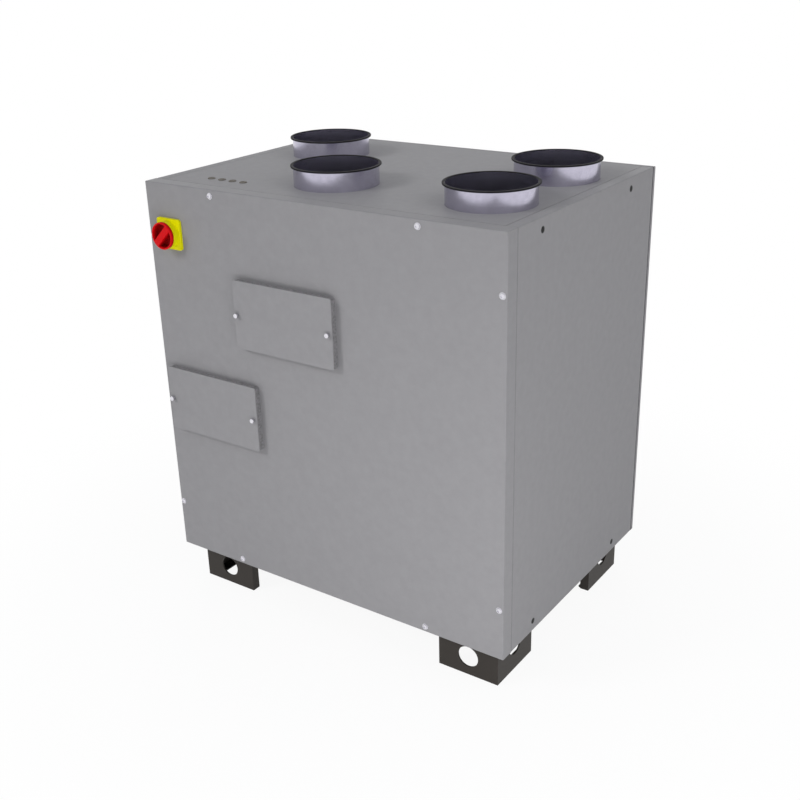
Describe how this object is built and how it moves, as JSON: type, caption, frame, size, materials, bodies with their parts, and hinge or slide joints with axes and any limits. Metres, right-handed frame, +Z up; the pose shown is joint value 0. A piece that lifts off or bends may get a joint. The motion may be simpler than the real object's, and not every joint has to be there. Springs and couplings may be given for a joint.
{
  "type": "air handling unit",
  "caption": "Floor-standing insulated sheet metal air handling unit with round duct spigots on its roof, screwed access covers, a rotary isolator and corner feet.",
  "frame": {"origin": "on the floor, under the middle of the whole unit's box", "axes": "+Z up; the front with the covers and the isolator faces -Y; +X to the right seen from the front"},
  "size_m": [0.8, 0.5994, 0.923],
  "materials": {
    "cabinet_paint": "satin grey powder coat",
    "insulation_foam": "matte dark foam",
    "gasket_foam": "matte dark grey foam rubber",
    "spigot_steel": "bright zinc-coated steel",
    "seal_rubber": "matte black rubber",
    "foot_paint": "satin brown-black powder coat",
    "isolator_yellow": "glossy yellow plastic",
    "isolator_red": "glossy red plastic",
    "grommet_rubber": "matte rubber"
  },
  "bodies": {
    "cabinet": {"front_panel": "cabinet_paint", "back_panel": "cabinet_paint", "left_side_skin": "cabinet_paint", "right_side_skin": "cabinet_paint", "roof_skin": "cabinet_paint", "base_skin": "cabinet_paint", "upper_access_cover": "cabinet_paint", "lower_access_cover": "cabinet_paint", "front_insulation": "insulation_foam", "back_insulation": "insulation_foam", "left_insulation": "insulation_foam", "right_insulation": "insulation_foam", "base_insulation": "insulation_foam", "roof_insulation_front_left": "insulation_foam", "roof_insulation_front_right": "insulation_foam", "roof_insulation_rear_left": "insulation_foam", "roof_insulation_rear_right": "insulation_foam", "long_partition": "insulation_foam", "front_cross_partition": "insulation_foam", "rear_cross_partition": "insulation_foam", "upper_access_plug": "insulation_foam", "lower_access_plug": "insulation_foam", "upper_access_gasket": "gasket_foam", "lower_access_gasket": "gasket_foam", "front_left_collar": "spigot_steel", "front_right_collar": "spigot_steel", "rear_left_collar": "spigot_steel", "rear_right_collar": "spigot_steel", "front_left_seal": "seal_rubber", "front_right_seal": "seal_rubber", "rear_left_seal": "seal_rubber", "rear_right_seal": "seal_rubber", "front_left_foot_end": "foot_paint", "front_left_foot_side": "foot_paint", "front_right_foot_end": "foot_paint", "front_right_foot_side": "foot_paint", "rear_left_foot_end": "foot_paint", "rear_left_foot_side": "foot_paint", "rear_right_foot_end": "foot_paint", "rear_right_foot_side": "foot_paint", "isolator_plate": "isolator_yellow", "isolator_bezel": "isolator_yellow", "cable_grommets": "grommet_rubber"},
    "knob": {"isolator_knob": "isolator_red"}
  },
  "joints": [
    {"name": "isolator_turn", "type": "hinge", "parent": "cabinet", "child": "knob", "pos_m": [-0.343, -0.2897, 0.789], "axis": [0, -1, 0], "range_deg": [-45, 45]}
  ]
}
